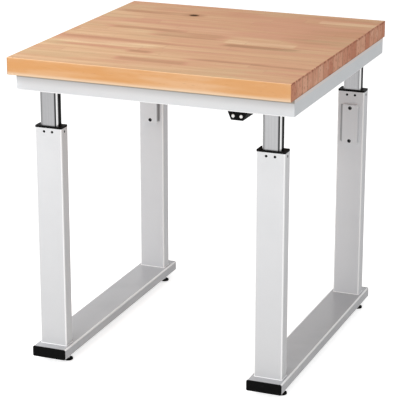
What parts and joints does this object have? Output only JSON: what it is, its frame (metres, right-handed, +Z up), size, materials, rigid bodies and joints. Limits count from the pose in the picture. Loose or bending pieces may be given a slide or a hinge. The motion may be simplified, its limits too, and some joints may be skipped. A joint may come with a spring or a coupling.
{
  "type": "height-adjustable work table",
  "caption": "Square work table with a thick beech top on a steel apron, telescopic hydraulic legs on long foot rails with levelling feet, and a hand switch under the front apron",
  "frame": {"origin": "on the floor under the middle of the table's footprint, foot rails included", "axes": "+Z up, -Y towards the user at the front with the hand switch, +X to the right seen from the front"},
  "size_m": [0.8, 0.842, 0.884],
  "materials": {
    "beech": "oiled solid beech, glued from strips",
    "apron_paint": "light grey powder coat",
    "column_paint": "light grey powder coat, satin",
    "rail_paint": "silver grey powder coat",
    "bright_tube": "bright anodised",
    "chrome_rod": "hard chrome, polished",
    "bronze": "turned bronze",
    "black_plastic": "moulded, fine grain",
    "foot_black": "moulded pad on a zinc plated stem",
    "black_rubber": "smooth black sheath",
    "pump_alloy": "die-cast, bead blasted",
    "motor_paint": "black enamel",
    "white_plastic": "smooth white",
    "green_plastic": "moulded contact block",
    "zinc_steel": "zinc plated"
  },
  "bodies": {
    "base": {"foot_rail_left": "rail_paint", "foot_rail_right": "rail_paint", "rail_end_caps": "black_plastic", "outer_column_front_left": "column_paint", "outer_column_front_right": "column_paint", "outer_column_rear_left": "column_paint", "outer_column_rear_right": "column_paint", "guide_bush_front_left": "black_plastic", "guide_bush_front_right": "black_plastic", "guide_bush_rear_left": "black_plastic", "guide_bush_rear_right": "black_plastic", "accessory_plate_left": "column_paint", "accessory_plate_right": "column_paint", "piston_rods": "chrome_rod", "pistons": "bronze", "rod_nuts": "zinc_steel", "leveller_bushes": "zinc_steel"},
    "lift": {"worktop": "beech", "apron_front": "apron_paint", "apron_rear": "apron_paint", "apron_left": "apron_paint", "apron_right": "apron_paint", "head_plate_front_left": "zinc_steel", "head_plate_front_right": "zinc_steel", "head_plate_rear_left": "zinc_steel", "head_plate_rear_right": "zinc_steel", "inner_tube_front_left": "bright_tube", "inner_tube_front_right": "bright_tube", "inner_tube_rear_left": "bright_tube", "inner_tube_rear_right": "bright_tube", "glide_strips": "black_plastic", "lower_glides": "black_plastic", "cylinder_barrels": "zinc_steel", "cylinder_glands": "bronze", "pump_bracket": "zinc_steel", "pump_block": "pump_alloy", "pump_motor": "motor_paint", "control_box": "black_plastic", "mains_inlet": "black_plastic", "hydraulic_hoses": "black_rubber", "hose_fittings": "zinc_steel", "switch_cable": "black_rubber", "motor_cable": "black_rubber", "cable_clips": "black_plastic", "switch_housing": "black_plastic", "switch_cover": "black_plastic", "switch_module": "green_plastic", "switch_screws": "zinc_steel", "worktop_screws": "zinc_steel"},
    "button_up": {"button_up": "white_plastic"},
    "button_down": {"button_down": "white_plastic"},
    "levelling_foot_front_left_outer": {"levelling_foot_front_left_outer": "foot_black"},
    "levelling_foot_front_left_inner": {"levelling_foot_front_left_inner": "foot_black"},
    "levelling_foot_front_right_inner": {"levelling_foot_front_right_inner": "foot_black"},
    "levelling_foot_front_right_outer": {"levelling_foot_front_right_outer": "foot_black"},
    "levelling_foot_rear_left_outer": {"levelling_foot_rear_left_outer": "foot_black"},
    "levelling_foot_rear_left_inner": {"levelling_foot_rear_left_inner": "foot_black"},
    "levelling_foot_rear_right_inner": {"levelling_foot_rear_right_inner": "foot_black"},
    "levelling_foot_rear_right_outer": {"levelling_foot_rear_right_outer": "foot_black"}
  },
  "joints": [
    {"name": "lift_slide", "type": "slide", "parent": "base", "child": "lift", "axis": [0, 0, 1], "range_m": [-0.09, 0.31]},
    {"name": "button_up_press", "type": "slide", "parent": "lift", "child": "button_up", "axis": [0, 1, 0], "range_m": [0, 0.0015], "stiffness_N_per_m": 600, "springref_m": -0.001},
    {"name": "button_down_press", "type": "slide", "parent": "lift", "child": "button_down", "axis": [0, 1, 0], "range_m": [0, 0.0015], "stiffness_N_per_m": 600, "springref_m": -0.001},
    {"name": "levelling_foot_front_left_outer_screw", "type": "slide", "parent": "base", "child": "levelling_foot_front_left_outer", "axis": [0, 0, 1], "range_m": [-0.012, 0]},
    {"name": "levelling_foot_front_left_inner_screw", "type": "slide", "parent": "base", "child": "levelling_foot_front_left_inner", "axis": [0, 0, 1], "range_m": [-0.012, 0]},
    {"name": "levelling_foot_front_right_inner_screw", "type": "slide", "parent": "base", "child": "levelling_foot_front_right_inner", "axis": [0, 0, 1], "range_m": [-0.012, 0]},
    {"name": "levelling_foot_front_right_outer_screw", "type": "slide", "parent": "base", "child": "levelling_foot_front_right_outer", "axis": [0, 0, 1], "range_m": [-0.012, 0]},
    {"name": "levelling_foot_rear_left_outer_screw", "type": "slide", "parent": "base", "child": "levelling_foot_rear_left_outer", "axis": [0, 0, 1], "range_m": [-0.012, 0]},
    {"name": "levelling_foot_rear_left_inner_screw", "type": "slide", "parent": "base", "child": "levelling_foot_rear_left_inner", "axis": [0, 0, 1], "range_m": [-0.012, 0]},
    {"name": "levelling_foot_rear_right_inner_screw", "type": "slide", "parent": "base", "child": "levelling_foot_rear_right_inner", "axis": [0, 0, 1], "range_m": [-0.012, 0]},
    {"name": "levelling_foot_rear_right_outer_screw", "type": "slide", "parent": "base", "child": "levelling_foot_rear_right_outer", "axis": [0, 0, 1], "range_m": [-0.012, 0]}
  ]
}
